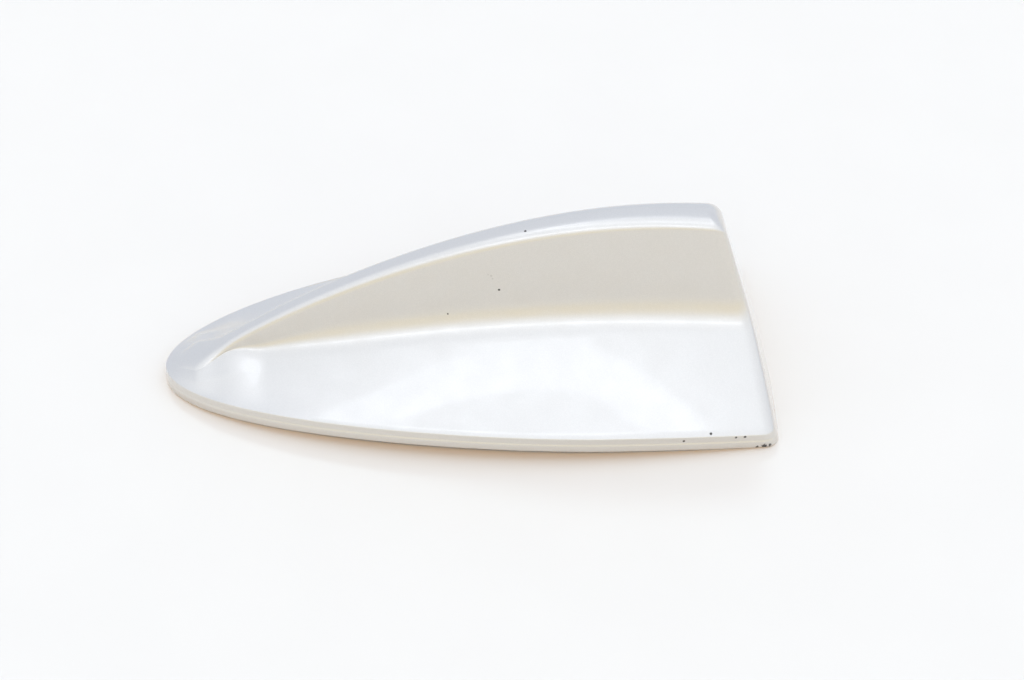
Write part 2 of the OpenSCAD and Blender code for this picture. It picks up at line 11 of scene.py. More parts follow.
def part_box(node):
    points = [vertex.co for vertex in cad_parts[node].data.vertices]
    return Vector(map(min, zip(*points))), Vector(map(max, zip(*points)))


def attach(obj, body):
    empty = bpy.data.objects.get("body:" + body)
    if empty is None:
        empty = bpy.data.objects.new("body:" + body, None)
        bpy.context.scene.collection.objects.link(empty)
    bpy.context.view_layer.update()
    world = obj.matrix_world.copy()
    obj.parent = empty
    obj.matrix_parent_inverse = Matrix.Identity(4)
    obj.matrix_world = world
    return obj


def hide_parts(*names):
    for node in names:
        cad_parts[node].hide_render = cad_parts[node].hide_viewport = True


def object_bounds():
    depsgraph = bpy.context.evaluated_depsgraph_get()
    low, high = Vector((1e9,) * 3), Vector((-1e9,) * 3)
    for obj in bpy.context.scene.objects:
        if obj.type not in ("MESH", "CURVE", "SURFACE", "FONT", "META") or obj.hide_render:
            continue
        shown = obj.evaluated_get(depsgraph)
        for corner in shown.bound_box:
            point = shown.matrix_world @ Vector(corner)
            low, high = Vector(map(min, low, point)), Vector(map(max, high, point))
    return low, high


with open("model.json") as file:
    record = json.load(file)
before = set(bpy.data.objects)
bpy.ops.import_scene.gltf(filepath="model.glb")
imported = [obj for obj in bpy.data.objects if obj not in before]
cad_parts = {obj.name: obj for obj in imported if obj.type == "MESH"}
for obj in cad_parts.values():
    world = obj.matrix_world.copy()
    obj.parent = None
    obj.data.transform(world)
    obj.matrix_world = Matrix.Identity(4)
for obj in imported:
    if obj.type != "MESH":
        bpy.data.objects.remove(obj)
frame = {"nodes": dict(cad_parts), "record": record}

cad_low, cad_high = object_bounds()

MM = 0.001
NODES = frame["nodes"]

# Housing sizes in millimetres, with x counted from the tip
LENGTH = (cad_high.x - cad_low.x) / MM
WIDTH = 75.0
HALF = WIDTH / 2
HEIGHT = 49.1
ARCH = 3.6
RIM = 4.2
STEP = 0.25
WALL = 2.0
REAR_LEAN = 0.313
BULGE = 2.0
CORNER = 3.5
TOP_CORNER = 4.0
CREST_TIP = 2.2
CREST_REAR = 5.3
CROWN = 1.8
CROWN_POWER = 4
CREASE_R = 0.35
BLADE_LEAN = 0.19
VALLEY = 22.1
REACH = 5.8
FLUTE = 9.0
FLUTE_FADE = 17.0
NOSE = 0.09 * LENGTH
PLAN_END = 0.72 * LENGTH
END_Z = 0.36 * HEIGHT
FIRST_INNER = 14
INNER_END = LENGTH - 1.1 * WALL

# Inner ribs and screw bosses of the housing
RING_Z = 3.2
RING_TOP = 11.0
RING_INSET = 2.9
RING_T = 1.0
BOSS_R = 3.6
BOSS_H = 16.0
BOSS_RINGS = 12
BOSS_MIDDLE = 0.2
PILOT_R = 1.3
PILOT_DEPTH = 5.2
CUP_UP = 4.2
CROSS_RIBS = ((-0.235 * LENGTH, 9.4), (-0.36 * LENGTH, 7.0))
RIB_T = 1.2


def cubic(a, b, c, d, t):
    s = 1 - t
    return s**3 * a + 3 * s * s * t * b + 3 * s * t * t * c + t**3 * d


def smooth(f):
    g = min(max(f, 0.0), 1.0)
    return g * g * (3 - 2 * g)


CURVE_T = np.linspace(0, 1, 801)
PLAN_X = cubic(0, 0, 0.417 * LENGTH, PLAN_END, CURVE_T)
PLAN_Y = cubic(0, 0.531 * HALF, HALF, HALF, CURVE_T)
CREST_X = cubic(0, 0.17 * LENGTH, 0.552 * LENGTH, LENGTH, CURVE_T)
CREST_Z = HEIGHT * cubic(-0.003, 0.5118, 1.1375, 0.9731, CURVE_T)


def half_w(x):
    """Half width of the rim."""
    if x < PLAN_END:
        return float(np.interp(max(x, 0.03), PLAN_X, PLAN_Y))
    return HALF - 0.053 * HALF * ((x - PLAN_END) / (LENGTH - PLAN_END)) ** 2


def crest_z(x):
    """Height of the crest's middle."""
    z = float(np.interp(x, CREST_X, CREST_Z))
    if x < NOSE:
        z += (RIM - float(CREST_Z[0])) * (1 - x / NOSE) ** 2 + 0.5 * math.sin(math.pi * x / NOSE)
    return z


def arch_z(x):
    """Height of the arched lower edge."""
    return ARCH * (1 - (2 * x / LENGTH - 1) ** 2)


def place(x, y, z):
    """Sections lean more towards the rear, and the rear face bulges."""
    f = x / LENGTH
    lean = z * REAR_LEAN * f**2.155
    return (x - LENGTH / 2 - lean - BULGE * (y / HALF) ** 2 * f**8, y, z)


def round_off(u, r):
    """What a corner of radius r takes away at the distance u before the end."""
    if u >= r:
        return 0.0
    return r - math.sqrt(max(0.0, r * r - (r - u) ** 2))


def measures(x, e, q):
    """Half width, arch, band top, valley, crest edge, crest height and flute of a section."""
    w = half_w(x) - e
    za = arch_z(x)
    zs = crest_z(x) - q
    crown = CROWN * (0.67 + 0.33 * min(1, x / 60))
    zc = min(crest_z(x) - crown - 0.5 * e, zs - 0.5)
    t = x / LENGTH
    c = CREST_TIP + (CREST_REAR - CREST_TIP) * t**1.13
    if x < 22:
        c += 18 * (1 - x / 22) ** 3
    c = min(c, 0.6 * w) - 0.4 * e
    valley = VALLEY * (0.189 * (1 - t) ** 2 + 2.52 * t * (1 - t) + t * t)
    depth = 0.1 + (zc - 0.1 - valley) * smooth((x - FLUTE) / FLUTE_FADE)
    kz = zc - max(0.1, depth) - 0.1 * e
    k = c + BLADE_LEAN * (zc - kz)
    return w, za, za + RIM, k, kz, c, zc, zs, smooth((x - 2) / (FLUTE + 2))


def flank(sag, w0, zr, valley, crease, zs, n):
    """Skirt, valley, blade wall and crest as rows of (share of the line, y, z)."""
    low = np.array([w0, zr])
    valley = np.array(valley)
    crease = np.array(crease)
    skirt = valley - low
    wall = crease - valley
    a = valley - skirt * min(REACH / np.linalg.norm(skirt), 0.45)
    b = valley + wall * min(REACH / np.linalg.norm(wall), 0.45)
    edge = min(CREASE_R / np.linalg.norm(wall), 0.3)
    c = crease - wall * edge
    rows = []
    for f in np.linspace(0, 1, n, endpoint=False):
        p = low + (a - low) * f
        rows.append((5 * f, p[0], p[1] - 1.2 * f * (1 - f) * sag))
    for f in np.linspace(0, 1, n, endpoint=False):
        p = (1 - f) ** 2 * a + 2 * f * (1 - f) * valley + f * f * b
        rows.append((5 + 5 * f, p[0], p[1]))
    for f in np.linspace(0, 1, n, endpoint=False):
        p = b + (c - b) * f
        rows.append((10 + 0.9 * f, p[0], p[1]))

    def crown(g):
        return np.array([crease[0] * g, zs - (zs - crease[1]) * g**CROWN_POWER])

    g_edge = 1 - min(CREASE_R / crease[0], 0.2)
    d = crown(g_edge)
    for f in np.linspace(0, 1, 5, endpoint=False):
        p = (1 - f) ** 2 * c + 2 * f * (1 - f) * crease + f * f * d
        rows.append((10.9 + 0.2 * f, p[0], p[1]))
    for f in np.linspace(0, 1, 2 * n):
        p = crown(g_edge * (1 - f))
        rows.append((11.1 + 4.9 * f, p[0], p[1]))
    return np.array(rows)


def fade(line, w0, zr, zs, f):
    """Fades a section into a plain dome at the tip."""
    s = line[:, 0] / 16
    y = w0 * (1 - s)
    z = zr + (zs - zr) * (1 - (1 - s) ** 1.7)
    return np.stack([y + (line[:, 1] - y) * f, z + (line[:, 2] - z) * f], axis=1)


def outer_half(x):
    """Outside of the half section, from the lower edge to the middle of the crest."""
    u = LENGTH - x
    w, za, zr, k, kz, c, zc, zs, f = measures(x, round_off(u, CORNER), round_off(u, TOP_CORNER))
    s = min(STEP, 0.3 * w)
    w0 = w - 1.6 * s
    z1 = za + 0.48 * RIM
    z2 = za + 0.54 * RIM
    band = [
        (w - 0.25, za),
        (w - 0.12, za + 0.03),
        (w - 0.03, za + 0.12),
        (w, za + 0.25),
        (w, z1 - 0.12),
        (w - 0.1 * s, z1),
        (w - 0.9 * s, z2),
        (w - s, z2 + 0.12),
        (w - s, zr - 0.55),
        (w - 1.05 * s, zr - 0.3),
        (w - 1.22 * s, zr - 0.1),
    ]
    line = flank(1, w0, zr, (k, kz), (c, zc), zs, 14)
    return np.vstack([band, fade(line, w0, zr, zs, f)])


def inner_half(x, t, low_z):
    """Half section of a surface t inside the outer one."""
    w, za, zr, k, kz, c, zc, zs, f = measures(x, 0, 0)
    dw = min(2.2, half_w(x + 0.5) - half_w(x - 0.5))
    dz = crest_z(x + 0.5) - crest_z(x - 0.5)
    w0 = w - t * math.hypot(1, dw)
    g = t * math.hypot(1, dz)
    m = (kz - zr) / (w - k)
    tw = t * math.hypot(1, BLADE_LEAN)
    ts = t * math.hypot(1, m) * math.sqrt(1 + 0.3 * dz * dz)
    low_k = (zr + m * w - ts - m * (c + BLADE_LEAN * zc - tw)) / (1 - m * BLADE_LEAN)
    edge_z = min(zc - g, zc + (c - tw - 0.3) / BLADE_LEAN)
    top_z = max(zs - g, edge_z + 0.2)
    edge = c + BLADE_LEAN * (zc - edge_z) - tw
    side = c + BLADE_LEAN * (zc - low_k) - tw
    z0 = zr + m * (w - w0) - ts
    line = flank(0, w0, z0, (side, min(low_k, edge_z - 0.2)), (edge, edge_z), top_z, 6)
    return np.vstack([[(w0, low_z)], fade(line, w0, z0, top_z, f)])


def over(x, half):
    """Section line over both sides."""
    right = [place(x, y, z) for y, z in half]
    left = [place(x, -y, z) for y, z in half[-2::-1]]
    return right + left


def under(x, half, n=13):
    """Points that close a section line below."""
    y, z = half[0]
    return [place(x, y * f, z) for f in np.linspace(-1, 1, n + 2)[1:-1]]


def ring_shrunk(x, half, f):
    """Closed section line that shrinks towards the middle of an end face."""
    small = half * [f, 1]
    small[:, 1] = END_Z + (half[:, 1] - END_Z) * f
    return over(x, small) + under(x, small)


def new_object(name, verts, faces, material=None, smooth_angle=35):
    """Mesh object from millimetre points, shaded smooth but for edges over the angle."""
    mesh = bpy.data.meshes.new(name)
    mesh.from_pydata((np.array(verts) * MM).tolist(), [], faces)
    mesh.validate()
    obj = bpy.data.objects.new(name, mesh)
    bpy.context.scene.collection.objects.link(obj)
    finish_mesh(mesh, smooth_angle)
    if material:
        mesh.materials.append(material)
    return obj


def finish_mesh(mesh, smooth_angle):
    mesh.polygons.foreach_set("use_smooth", [True] * len(mesh.polygons))
    mesh.set_sharp_from_angle(angle=math.radians(smooth_angle))
    mesh.update()


def band(a, b, n, closed=False):
    """Quads between two lines of n points that start at the numbers a and b."""
    quads = [(a + j, b + j, b + j + 1, a + j + 1) for j in range(n - 1)]
    if closed:
        quads.append((a + n - 1, b + n - 1, b, a))
    return quads


def wall_mesh():
    """The moulded wall as one closed surface: outside, lower edge, inside and both ends."""
    xs = [0.38 * LENGTH * (i / 90) ** 2 for i in range(91)]
    xs += list(np.linspace(0.38 * LENGTH, LENGTH - 5.5, 101)[1:])
    xs += [LENGTH - 4 + 4 * math.sin(math.radians(a)) for a in np.linspace(0, 90, 17)]
    halves = [outer_half(x) for x in xs]
    first_x = xs[FIRST_INNER]
    share = (INNER_END - first_x - 0.35) / (LENGTH - first_x)
    inner_x = [first_x + 0.35 + share * (x - first_x) for x in xs[FIRST_INNER:]]
    cores = [inner_half(x, WALL, arch_z(x)) for x in inner_x]
    verts = []
    faces = []

    def add(points):
        start = len(verts)
        verts.extend(points)
        return start

    outer = [add(over(x, h)) for x, h in zip(xs, halves)]
    inner = [add(over(x, h)) for x, h in zip(inner_x, cores)]
    n_out = 2 * len(halves[0]) - 1
    n_in = 2 * len(cores[0]) - 1
    for a, b in zip(outer, outer[1:]):
        faces += band(a, b, n_out)
    for a, b in zip(inner, inner[1:]):
        faces += band(a, b, n_in)
    # lower edge along both sides, and across the tip
    for i in range(FIRST_INNER):
        a, b = outer[i], outer[i + 1]
        faces.append((a, b, b + n_out - 1, a + n_out - 1))
    a, b = outer[FIRST_INNER], inner[0]
    faces.append((a, b, b + n_in - 1, a + n_out - 1))
    for i in range(len(inner) - 1):
        a, b = outer[FIRST_INNER + i], outer[FIRST_INNER + i + 1]
        c, d = inner[i], inner[i + 1]
        faces.append((a, b, d, c))
        faces.append((a + n_out - 1, b + n_out - 1, d + n_in - 1, c + n_in - 1))
    faces.append(tuple(range(outer[0], outer[0] + n_out)))
    tip = add([place(inner_x[0], 0, 0.5 * (cores[0][0][1] + cores[0][-1][1]))])
    faces += [(inner[0] + j, inner[0] + (j + 1) % n_in, tip) for j in range(n_in)]
    # rear face and the inside of the rear wall
    for x, half, last, n, steps in (
        (LENGTH, halves[-1], outer[-1], n_out, (0.9, 0.78, 0.64, 0.48, 0.32, 0.16)),
        (INNER_END, cores[-1], inner[-1], n_in, (0.75, 0.5, 0.25)),
    ):
        low = add(under(x, half))
        rear_in_from = low
        loop = list(range(last, last + n)) + list(range(low, low + 13))
        for f in steps:
            start = add(ring_shrunk(x, half, f))
            ring = list(range(start, start + len(loop)))
            for j in range(len(loop)):
                m = (j + 1) % len(loop)
                faces.append((loop[j], loop[m], ring[m], ring[j]))
            loop = ring
        middle = add([place(x, 0, END_Z)])
        faces += [(loop[j], loop[(j + 1) % len(loop)], middle) for j in range(len(loop))]
        if last == outer[-1]:
            rear_low = [last + n - 1] + list(range(low, low + 13)) + [last]
        else:
            rear_in = [last + n - 1] + list(range(low, low + 13)) + [last]
    for j in range(len(rear_low) - 1):
        faces.append((rear_low[j], rear_low[j + 1], rear_in[j + 1], rear_in[j]))
    inner_side = set(range(inner[0], inner[-1] + n_in)) | set(range(rear_in_from, len(verts)))
    return verts, faces, inner_side


def fixed_normals(obj):
    """Joins doubled points and turns all faces outward."""
    mesh = bmesh.new()
    mesh.from_mesh(obj.data)
    bmesh.ops.remove_doubles(mesh, verts=mesh.verts, dist=1e-7)
    bmesh.ops.recalc_face_normals(mesh, faces=mesh.faces)
    mesh.to_mesh(obj.data)
    mesh.free()


def combine(obj, tool, operation):
    """Boolean of two closed meshes, applied, after which the tool is deleted."""
    modifier = obj.modifiers.new("cut", "BOOLEAN")
    modifier.operation = operation
    modifier.solver = "MANIFOLD"
    modifier.object = tool
    graph = bpy.context.evaluated_depsgraph_get()
    made = bpy.data.meshes.new_from_object(obj.evaluated_get(graph))
    obj.modifiers.clear()
    obj.data = made
    bpy.data.objects.remove(tool)


def ceiling_finder(verts, faces, skin):
    """Height of the wall's inside above a point, in millimetres, where the point is inside."""
    skin_faces = [f for f in faces if all(v in skin for v in f)]
    tree = BVHTree.FromPolygons([Vector(v) for v in verts], skin_faces)

    def ceiling(x, y, z):
        hit = tree.ray_cast(Vector((x, y, z)), Vector((0, 0, 1)))[0]
        return hit.z if hit else None

    return ceiling


def column(points, low, high):
    """Closed upright form over a closed outline, with its own low and high heights."""
    n = len(points)
    verts = [(x, y, z) for (x, y), z in zip(points, low)]
    verts += [(x, y, z) for (x, y), z in zip(points, high)]
    faces = [tuple(range(n))[::-1], tuple(range(n, 2 * n))]
    faces += [(j, (j + 1) % n, n + (j + 1) % n, n + j) for j in range(n)]
    return verts, faces


def plate_outline(inset):
    """Half outline of the base plate's edge, an inset inside it, from the tip to the rear."""
    points = []
    for i in range(40):
        x = 8 + inset + 46 * (i / 40) ** 1.6
        dw = min(2.2, half_w(x + 0.5) - half_w(x - 0.5))
        points.append((x, half_w(x) - 2.4 * math.hypot(1, dw) - 1.15 * inset))
    for x in np.linspace(54 + inset, LENGTH - 10, 60):
        dw = half_w(x + 0.5) - half_w(x - 0.5)
        points.append((x, half_w(x) - 2.4 * math.hypot(1, dw) - inset))
    lean = REAR_LEAN * (arch_z(INNER_END) + 2.4)
    for y in np.linspace(HALF - 6.5, inset, 12):
        points.append((INNER_END - lean - BULGE * (y / HALF) ** 2 - 1.2 - inset, y - inset))
    return points


def ring_rib(ceiling):
    """Continuous rib that presses on the rubber ring."""
    def loop(inset):
        half = plate_outline(inset)
        side = [(x - LENGTH / 2, y) for x, y in half]
        return side + [(x, -y) for x, y in side[-2:0:-1]]

    outside = loop(RING_INSET)
    inside = loop(RING_INSET + RING_T)
    n = len(outside)
    verts = []
    for points in (outside, inside):
        low = [arch_z(x + LENGTH / 2) + RING_Z for x, y in points]
        top = [ceiling(x, y, z) for (x, y), z in zip(points, low)]
        top = [min(RING_TOP, t + 0.8) if t else z + 0.1 for t, z in zip(top, low)]
        verts += [(x, y, z) for (x, y), z in zip(points, low)]
        verts += [(x, y, z) for (x, y), z in zip(points, top)]
    faces = []
    for a, b in ((0, n), (n, 3 * n), (3 * n, 2 * n), (2 * n, 0)):
        faces += [(a + j, a + (j + 1) % n, b + (j + 1) % n, b + j) for j in range(n)]
    return verts, faces


def circle(x, y, r, n=48):
    return [(x + r * math.cos(2 * math.pi * j / n), y + r * math.sin(2 * math.pi * j / n)) for j in range(n)]


def boss_places():
    """Middles and seat heights of the screws that hold the base plate."""
    places = [(-0.3 * LENGTH, 0.0)]
    places += [(-0.026 * LENGTH, 0.48 * HALF * s) for s in (1, -1)]
    places += [(0.374 * LENGTH, 0.64 * HALF * s) for s in (1, -1)]
    return [(x, y, arch_z(x + LENGTH / 2) + CUP_UP) for x, y in places]


def boss(x, y, seat, ceiling):
    """Screw boss whose top follows the wall, built of rings that shrink to its middle."""
    n = 48
    verts = [(px, py, seat) for px, py in circle(x, y, BOSS_R, n)]
    for r in np.linspace(BOSS_R, BOSS_MIDDLE, BOSS_RINGS):
        for px, py in circle(x, y, r, n):
            top = ceiling(px, py, seat)
            verts.append((px, py, min(seat + BOSS_H, top + 0.9) if top else seat + 0.1))
    faces = [tuple(range(n)), tuple(range(BOSS_RINGS * n, (BOSS_RINGS + 1) * n))]
    for i in range(BOSS_RINGS):
        faces += band(i * n, (i + 1) * n, n, True)
    return verts, faces


def cross_rib(x0, z0, ceiling):
    """Rib across the housing, as far out as the wall leaves room above its lower edge."""
    ys = [y for y in np.arange(-HALF, HALF, 0.25) if (ceiling(x0, y, z0 - 0.9) or 0) > z0 - 0.8]
    ys = [y for y in ys if ys[0] <= y <= ys[-1]]
    verts = []
    for x in (x0, x0 + RIB_T):
        tops = [(ceiling(x, y, z0 - 0.9) or z0) for y in ys]
        verts += [(x, y, z0) for y in ys]
        verts += [(x, y, max(z0 + 0.1, t + 0.7)) for y, t in zip(ys, tops)]
    n = len(ys)
    faces = band(0, n, n) + band(2 * n, 3 * n, n) + band(0, 2 * n, n) + band(n, 3 * n, n)
    faces += [(0, n, 3 * n, 2 * n), (n - 1, 2 * n - 1, 4 * n - 1, 3 * n - 1)]
    return verts, faces


class Shader:
    """Short calls for the nodes of one material."""

    def __init__(self, name):
        self.material = bpy.data.materials.new(name)
        self.material.use_nodes = True
        self.tree = self.material.node_tree
        self.bsdf = self.tree.nodes["Principled BSDF"]
        self.where = self.node("ShaderNodeTexCoord").outputs["Object"]

    def node(self, kind, **values):
        made = self.tree.nodes.new(kind)
        for key, value in values.items():
            setattr(made, key, value)
        return made

    def wire(self, source, target):
        if hasattr(source, "is_linked"):
            self.tree.links.new(source, target)
        else:
            target.default_value = source

    def set(self, **values):
        for key, value in values.items():
            self.bsdf.inputs[key.replace("_", " ")].default_value = value

    def maths(self, operation, *values):
        made = self.node("ShaderNodeMath", operation=operation)
        for socket, value in zip(made.inputs, values):
            self.wire(value, socket)
        return made.outputs[0]

    def noise(self, scale, detail=3.0, rough=0.5, stretch=(1, 1, 1)):
        mapping = self.node("ShaderNodeMapping")
        mapping.inputs["Scale"].default_value = stretch
        self.wire(self.where, mapping.inputs["Vector"])
        made = self.node("ShaderNodeTexNoise")
        made.inputs["Scale"].default_value = scale
        made.inputs["Detail"].default_value = detail
        made.inputs["Roughness"].default_value = rough
        self.wire(mapping.outputs[0], made.inputs["Vector"])
        return made.outputs["Fac"]

    def cells(self, scale, feature="F1", metric="EUCLIDEAN"):
        made = self.node("ShaderNodeTexVoronoi", feature=feature)
        if feature != "DISTANCE_TO_EDGE":
            made.distance = metric
        made.inputs["Scale"].default_value = scale
        self.wire(self.where, made.inputs["Vector"])
        return made.outputs["Distance"]

    def span(self, value, low, high, to_low=0.0, to_high=1.0, kind="SMOOTHSTEP"):
        made = self.node("ShaderNodeMapRange", interpolation_type=kind)
        for socket, number in zip(made.inputs, (value, low, high, to_low, to_high)):
            self.wire(number, socket)
        return made.outputs[0]

    def mix(self, share, first, second):
        made = self.node("ShaderNodeMix", data_type="RGBA")
        self.wire(share, made.inputs["Factor"])
        for number, value in ((6, first), (7, second)):
            if hasattr(value, "is_linked"):
                self.wire(value, made.inputs[number])
            else:
                made.inputs[number].default_value = (*value, 1)
        return made.outputs[2]

    def bump(self, height, distance, strength=1.0):
        made = self.node("ShaderNodeBump")
        made.inputs["Strength"].default_value = strength
        made.inputs["Distance"].default_value = distance
        self.wire(height, made.inputs["Height"])
        self.wire(made.outputs[0], self.bsdf.inputs["Normal"])

    def colour(self, value):
        self.wire(value, self.bsdf.inputs["Base Color"])

    def rough(self, value):
        self.wire(value, self.bsdf.inputs["Roughness"])

    def near(self, spots, edge):
        """1 within each spot (x, y, z, radius) in millimetres, with ragged borders."""
        ragged = self.maths("MULTIPLY", self.maths("SUBTRACT", self.noise(2600), 0.5), edge * MM)
        total = None
        for x, y, z, r in spots:
            gap = self.node("ShaderNodeVectorMath", operation="DISTANCE")
            self.wire(self.where, gap.inputs[0])
            gap.inputs[1].default_value = (x * MM, y * MM, z * MM)
            far = self.maths("ADD", gap.outputs["Value"], ragged)
            spot = self.span(far, r * MM, 0.6 * r * MM)
            total = spot if total is None else self.maths("MAXIMUM", total, spot)
        return total


# Wear and a darker spot in the photograph: (x, y, z, radius) in millimetres
PAINT_SPECKS = (
    (13.4, -1.8, 45.9, 0.45),
    (29.5, -0.6, 48.9, 0.32),
    (6.9, -6.0, 30.5, 0.36),
    (-5.9, -6.5, 23.6, 0.26),
    (50.9, -36.9, 5.0, 0.4),
    (57.8, -35.8, 6.0, 0.42),
    (64.2, -36.1, 4.6, 0.4),
    (66.5, -36.0, 4.5, 0.46),
)
WORN_CORNER = ((71.6, -35.9, 0.8, 0.9), (73.1, -35.2, 0.6, 0.8), (69.9, -36.0, 0.7, 0.5))
# A small darker spot on the blade wall: (x, y, z, radius) in millimetres
WALL_DARK_SPOT = ((4.1, -5.3, 34.9, 0.4), (4.9, -5.2, 34.5, 0.32), (5.2, -5.4, 33.7, 0.3), (3.7, -5.5, 33.9, 0.25))


def cover_paint():
    """Silver metallic paint under a clear coat, with the photograph's specks and chips."""
    s = Shader("cover_paint")
    s.set(Metallic=1.0, Coat_Weight=1.0, Coat_Roughness=0.04, Coat_IOR=1.5)
    flakes = s.span(s.cells(5200), 0.1, 0.7, 0.0, 1.0)
    silver = s.mix(flakes, (0.75, 0.72, 0.672), (0.69, 0.662, 0.618))
    cloudy = s.span(s.noise(1300, 4, 0.7), 0.3, 0.7, 0.0, 1.0)
    silver = s.mix(s.maths("MULTIPLY", cloudy, 0.5), silver, (0.69, 0.662, 0.618))
    # the paint is mixed a little towards darker grey within the small spot on the blade wall
    silver = s.mix(s.maths("MULTIPLY", s.near(WALL_DARK_SPOT, 0.4), 0.35), silver, (0.4, 0.37, 0.33))
    speck = s.near(PAINT_SPECKS, 0.35)
    silver = s.mix(speck, silver, (0.09, 0.08, 0.07))
    worn = s.near(WORN_CORNER, 1.6)
    s.colour(s.mix(worn, silver, (0.07, 0.065, 0.06)))
    dull = s.maths("MAXIMUM", speck, worn)
    grain = s.span(s.noise(160), 0.3, 0.7, 0.35, 0.41)
    s.rough(s.maths("MAXIMUM", grain, s.maths("MULTIPLY", dull, 0.7)))
    peel = s.noise(420, 2)
    s.bump(s.maths("SUBTRACT", peel, s.maths("MULTIPLY", dull, 6)), 0.000012, 0.35)
    return s.material


def moulded(name, colour, rough, metal=0.0, grain=900, depth=0.00002, spread=0.12, stretch=(1, 1, 1)):
    """Plain material with mottled colour, uneven gloss and a fine grain."""
    s = Shader(name)
    s.set(Metallic=metal)
    dark = tuple(c * (1 - spread) for c in colour)
    light = tuple(min(1, c * (1 + 0.5 * spread)) for c in colour)
    mottle = s.span(s.noise(120, 5, 0.6, stretch), 0.3, 0.7)
    s.colour(s.mix(mottle, dark, light))
    s.rough(s.span(s.noise(260, 3, 0.5, stretch), 0.3, 0.7, rough - 0.06, rough + 0.08))
    s.bump(s.noise(grain, 3, 0.55, stretch), depth)
    return s.material


def cast_metal():
    """Cast aluminium: grained skin with small pits and darker cloudy patches."""
    s = Shader("cast_metal")
    s.set(Metallic=0.9)
    cloud = s.span(s.noise(38, 5, 0.6), 0.35, 0.65)
    skin = s.mix(cloud, (0.52, 0.53, 0.54), (0.66, 0.665, 0.67))
    pits = s.span(s.cells(900), 0.16, 0.06)
    pits = s.maths("MULTIPLY", pits, s.span(s.noise(140), 0.55, 0.7))
    s.colour(s.mix(pits, skin, (0.3, 0.3, 0.31)))
    s.rough(s.span(s.noise(90), 0.3, 0.7, 0.42, 0.58))
    relief = s.maths("SUBTRACT", s.noise(800, 4, 0.6), s.maths("MULTIPLY", pits, 1.5))
    s.bump(relief, 0.00005, 0.8)
    return s.material


def foam():
    """Closed-cell foam: many small dents in a matt black skin, with painted shade in each dent."""
    s = Shader("black_foam")
    cells = s.cells(1500)
    # painted shade: the colour is darkest at the bottom of each dent and lighter towards its rim
    s.colour(s.mix(s.span(cells, 0.1, 0.6), (0.035, 0.035, 0.037), (0.075, 0.075, 0.078)))
    s.rough(s.span(s.noise(200), 0.3, 0.7, 0.8, 0.95))
    s.bump(cells, 0.00016, 0.7)
    return s.material


def board():
    """Green solder mask with lighter tracks, via dots and the weave of the glass cloth."""
    s = Shader("board_green")
    tracks = s.span(s.cells(240, "DISTANCE_TO_EDGE"), 0.05, 0.02)
    vias = s.span(s.cells(620, metric="CHEBYCHEV"), 0.11, 0.07)
    vias = s.maths("MULTIPLY", vias, s.span(s.noise(60), 0.5, 0.6))
    mask = s.mix(s.span(s.noise(50), 0.3, 0.7), (0.028, 0.15, 0.07), (0.04, 0.19, 0.09))
    mask = s.mix(s.maths("MULTIPLY", tracks, 0.7), mask, (0.08, 0.33, 0.15))
    s.colour(s.mix(vias, mask, (0.62, 0.6, 0.52)))
    s.rough(s.span(s.noise(300), 0.3, 0.7, 0.28, 0.42))
    s.bump(s.maths("ADD", tracks, s.noise(1600, 2)), 0.00003)
    return s.material


def ceramic():
    """Fired ceramic with fine dark specks."""
    s = Shader("patch_ceramic")
    base = s.mix(s.span(s.noise(70), 0.3, 0.7), (0.68, 0.57, 0.41), (0.76, 0.66, 0.49))
    specks = s.span(s.cells(1400), 0.14, 0.08)
    s.colour(s.mix(s.maths("MULTIPLY", specks, 0.6), base, (0.4, 0.32, 0.22)))
    s.rough(s.span(s.noise(200), 0.3, 0.7, 0.5, 0.62))
    s.bump(s.noise(1500, 4, 0.6), 0.00003)
    return s.material


ALONG = (0.06, 1, 1)
ROUND = (1, 1, 12)
MATERIALS = {
    "cover_paint": cover_paint(),
    "black_rubber": moulded("black_rubber", (0.03, 0.03, 0.032), 0.62, depth=0.00003),
    "black_foam": foam(),
    "cast_metal": cast_metal(),
    "insert_brass": moulded("insert_brass", (0.66, 0.5, 0.25), 0.3, 1.0, 1200, 0.00002, 0.1, ROUND),
    "board_green": board(),
    "chip_black": moulded("chip_black", (0.028, 0.028, 0.03), 0.5, grain=1800),
    "copper_sheet": moulded("copper_sheet", (0.72, 0.37, 0.2), 0.32, 1.0, 1500, 0.00002, 0.2, ALONG),
    "tinned_steel": moulded("tinned_steel", (0.66, 0.66, 0.63), 0.36, 1.0, 1100, 0.00002, 0.12, ALONG),
    "patch_ceramic": ceramic(),
    "silver_face": moulded("silver_face", (0.8, 0.8, 0.78), 0.38, 1.0, 1700, 0.00002, 0.08),
    "white_pad": moulded("white_pad", (0.78, 0.78, 0.74), 0.8, grain=1400, depth=0.00006),
    "socket_blue": moulded("socket_blue", (0.035, 0.11, 0.36), 0.42),
    "socket_red": moulded("socket_red", (0.24, 0.03, 0.12), 0.42),
    "nickel": moulded("nickel", (0.62, 0.59, 0.52), 0.22, 1.0, 1600, 0.00001, 0.1, ROUND),
    "white_plastic": moulded("white_plastic", (0.82, 0.82, 0.79), 0.45),
    "gold": moulded("gold", (0.8, 0.55, 0.2), 0.2, 1.0, 1600, 0.00001, 0.08, ROUND),
    "screw_steel": moulded("screw_steel", (0.5, 0.5, 0.5), 0.3, 1.0, 1200, 0.00002, 0.15, ROUND),
}
SLOT_OF = {part["node"]: part["material_slot"] for part in frame["record"]["subparts"]}
BEVEL_OF = {"base_plate": 0.3, "roof_seal": 0.12, "cover_seal": 0.12, "gps_socket_housing": 0.15,
            "phone_socket_housing": 0.15, "gps_patch": 0.3, "board_chips": 0.1}
FINE_BEVEL = 0.05


